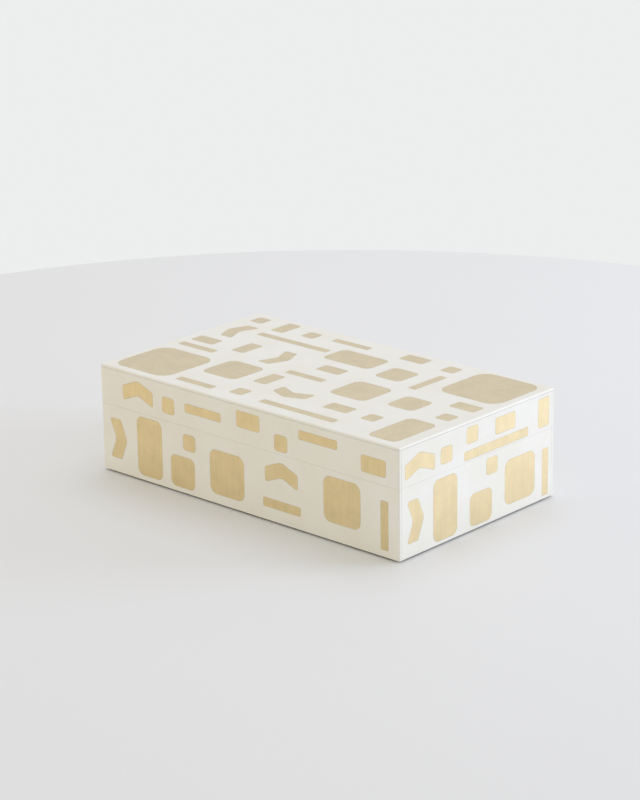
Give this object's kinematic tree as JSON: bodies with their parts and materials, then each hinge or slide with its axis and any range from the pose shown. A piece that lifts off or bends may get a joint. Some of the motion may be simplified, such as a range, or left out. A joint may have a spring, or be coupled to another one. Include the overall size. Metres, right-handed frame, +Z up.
{
  "type": "inlaid wooden box",
  "caption": "Shallow hinged keepsake box: mitred wooden carcass faced with ivory resin sheet that has brass pieces set flush in it, lined with velvet, on felt.",
  "frame": {"origin": "middle of the underside, in the plane that the felt rests on, centred on the facing", "axes": "+X along the length to the right seen from the front, +Y to the back where the hinges are, +Z up"},
  "size_m": [0.305, 0.1819, 0.087],
  "materials": {
    "carcass_wood": "oiled, satin",
    "resin_sheet": "ivory cast resin, sanded and polished to a soft gloss",
    "inlay_brass": "satin brushed, set flush",
    "hinge_brass": "polished",
    "velvet": "short pile velvet",
    "felt": "pressed wool felt"
  },
  "bodies": {
    "base": {"base_front_wall": "carcass_wood", "base_back_wall": "carcass_wood", "base_left_wall": "carcass_wood", "base_right_wall": "carcass_wood", "base_bottom_panel": "carcass_wood", "base_front_sheet": "resin_sheet", "base_back_sheet": "resin_sheet", "base_left_sheet": "resin_sheet", "base_right_sheet": "resin_sheet", "base_front_inlays": "inlay_brass", "base_back_inlays": "inlay_brass", "base_left_inlays": "inlay_brass", "base_right_inlays": "inlay_brass", "base_floor_pad": "velvet", "base_front_lining": "velvet", "base_back_lining": "velvet", "base_left_lining": "velvet", "base_right_lining": "velvet", "underside_felt": "felt", "left_hinge_base_leaf": "hinge_brass", "right_hinge_base_leaf": "hinge_brass", "left_hinge_pin": "hinge_brass", "right_hinge_pin": "hinge_brass", "base_hinge_screws": "hinge_brass"},
    "lid": {"lid_front_wall": "carcass_wood", "lid_back_wall": "carcass_wood", "lid_left_wall": "carcass_wood", "lid_right_wall": "carcass_wood", "lid_top_panel": "carcass_wood", "lid_top_sheet": "resin_sheet", "lid_top_inlays": "inlay_brass", "lid_front_sheet": "resin_sheet", "lid_back_sheet": "resin_sheet", "lid_left_sheet": "resin_sheet", "lid_right_sheet": "resin_sheet", "lid_front_inlays": "inlay_brass", "lid_back_inlays": "inlay_brass", "lid_left_inlays": "inlay_brass", "lid_right_inlays": "inlay_brass", "lid_ceiling_pad": "velvet", "lid_front_lining": "velvet", "lid_back_lining": "velvet", "lid_left_lining": "velvet", "lid_right_lining": "velvet", "left_hinge_lid_leaf": "hinge_brass", "right_hinge_lid_leaf": "hinge_brass", "lid_hinge_screws": "hinge_brass"}
  },
  "joints": [
    {"name": "lid_hinge", "type": "hinge", "parent": "base", "child": "lid", "pos_m": [0, 0.08925, 0.05575], "axis": [-1, 0, 0], "range_deg": [0, 95]}
  ]
}
